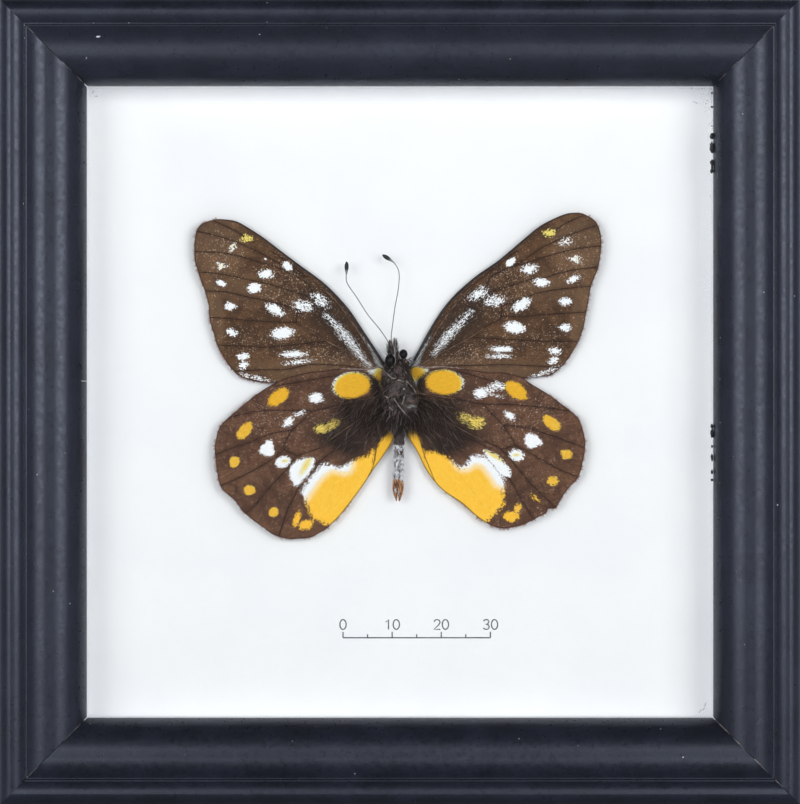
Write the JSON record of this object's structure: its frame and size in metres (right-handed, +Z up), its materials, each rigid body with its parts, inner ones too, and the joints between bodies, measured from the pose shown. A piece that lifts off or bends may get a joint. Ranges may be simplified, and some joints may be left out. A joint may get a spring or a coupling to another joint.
{
  "type": "butterfly display case",
  "caption": "Square mitred shadow-box frame in satin black with a glass front, white lining and a set dark butterfly with yellow and white spots, seen from below.",
  "frame": {"origin": "middle of the case's bounding box, on the surface that it stands on", "axes": "+Z up, glass front faces -Y, +X to the right of a viewer in front of the glass"},
  "size_m": [0.16, 0.0286, 0.161],
  "materials": {
    "frame_lacquer": "satin blue-black lacquer over wood",
    "nail_steel": "bare steel strip",
    "pane_glass": "clear float glass",
    "spacer_board": "matt white",
    "mount_board": "matt white",
    "back_board": "brown hardboard",
    "button_steel": "nickel-plated, brushed",
    "screw_zinc": "yellow zinc plate",
    "hanger_brass": "brass plate",
    "ring_brass": "brass plated wire",
    "pad_felt": "dark grey felt",
    "glue": "dried white glue",
    "body_hair": "dark brown-grey hair",
    "abdomen_scales": "white and dark scales",
    "clasper_scales": "orange-brown scales",
    "eye_shell": "glossy black",
    "leg_scales": "grey-brown scales",
    "antenna_shell": "black",
    "forewing_scales": "brown scales with white and pale yellow spots",
    "hindwing_scales": "dark brown scales with yellow and white spots"
  },
  "bodies": {
    "case": {"rail_top": "frame_lacquer", "rail_bottom": "frame_lacquer", "rail_left": "frame_lacquer", "rail_right": "frame_lacquer", "corner_v_nails": "nail_steel", "glass_pane": "pane_glass", "spacer_top": "spacer_board", "spacer_bottom": "spacer_board", "spacer_left": "spacer_board", "spacer_right": "spacer_board", "mount_board": "mount_board", "back_panel": "back_board", "turn_button_screws": "screw_zinc", "hanger_strap": "hanger_brass", "hanger_rivet": "hanger_brass", "wall_pads": "pad_felt", "glue_dot": "glue", "thorax": "body_hair", "abdomen": "abdomen_scales", "claspers": "clasper_scales", "head": "body_hair", "eyes": "eye_shell", "palps": "body_hair", "legs": "leg_scales", "antenna_left": "antenna_shell", "antenna_right": "antenna_shell", "forewing_left": "forewing_scales", "forewing_right": "forewing_scales", "hindwing_left": "hindwing_scales", "hindwing_right": "hindwing_scales"},
    "turn_button_left_upper": {"turn_button_left_upper": "button_steel"},
    "turn_button_left_lower": {"turn_button_left_lower": "button_steel"},
    "turn_button_right_upper": {"turn_button_right_upper": "button_steel"},
    "turn_button_right_lower": {"turn_button_right_lower": "button_steel"},
    "hanger_ring": {"hanger_ring": "ring_brass"}
  },
  "joints": [
    {"name": "turn_button_left_upper_swivel", "type": "hinge", "parent": "case", "child": "turn_button_left_upper", "pos_m": [-0.074, 0.01141, 0.1205], "axis": [0, 1, 0], "continuous": true},
    {"name": "turn_button_left_lower_swivel", "type": "hinge", "parent": "case", "child": "turn_button_left_lower", "pos_m": [-0.074, 0.01141, 0.0405], "axis": [0, 1, 0], "continuous": true},
    {"name": "turn_button_right_upper_swivel", "type": "hinge", "parent": "case", "child": "turn_button_right_upper", "pos_m": [0.074, 0.01141, 0.1205], "axis": [0, 1, 0], "continuous": true},
    {"name": "turn_button_right_lower_swivel", "type": "hinge", "parent": "case", "child": "turn_button_right_lower", "pos_m": [0.074, 0.01141, 0.0405], "axis": [0, 1, 0], "continuous": true},
    {"name": "hanger_ring_swing", "type": "hinge", "parent": "case", "child": "hanger_ring", "pos_m": [0, 0.01261, 0.1345], "axis": [1, 0, 0], "range_deg": [0, 180]}
  ]
}
